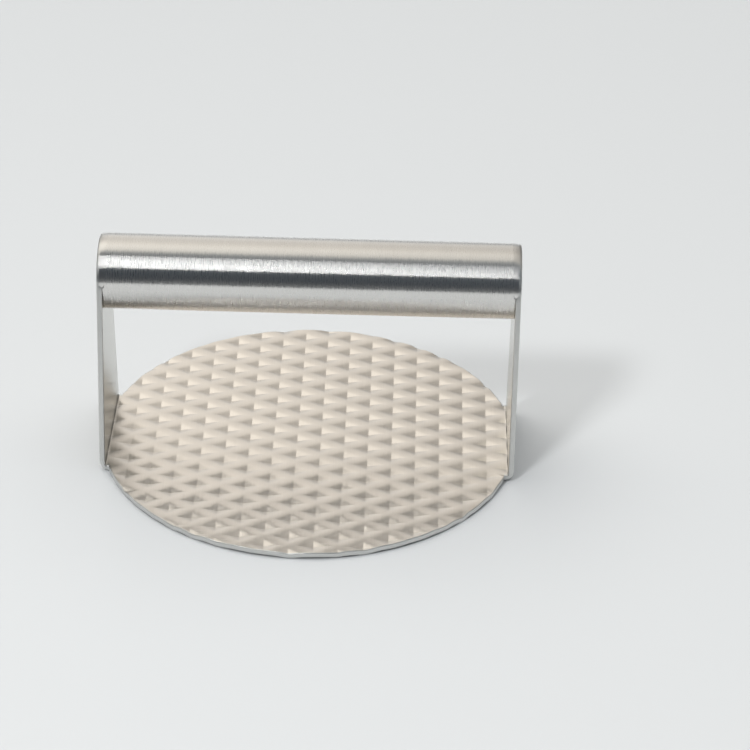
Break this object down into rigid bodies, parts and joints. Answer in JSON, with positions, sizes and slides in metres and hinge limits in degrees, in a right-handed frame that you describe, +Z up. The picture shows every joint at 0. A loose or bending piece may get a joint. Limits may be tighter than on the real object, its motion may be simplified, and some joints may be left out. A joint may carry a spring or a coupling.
{
  "type": "bacon press",
  "caption": "Round steel hand press for bacon and burgers: a diamond-embossed plate, upright legs folded up from its edge and a straight tube handle.",
  "frame": {"origin": "on the resting surface, under the centre of the round plate", "axes": "+X along the handle to the right leg, +Y away from the user, +Z up"},
  "size_m": [0.1386, 0.14, 0.077],
  "materials": {
    "embossed_sheet": "stamped satin",
    "satin_sheet": "satin",
    "brushed_tube": "brushed round the tube",
    "ground_weld": "ground flush"
  },
  "bodies": {
    "root": {"press_plate": "embossed_sheet", "left_leg": "satin_sheet", "right_leg": "satin_sheet", "handle_tube": "brushed_tube", "left_weld": "ground_weld", "right_weld": "ground_weld"}
  },
  "joints": []
}
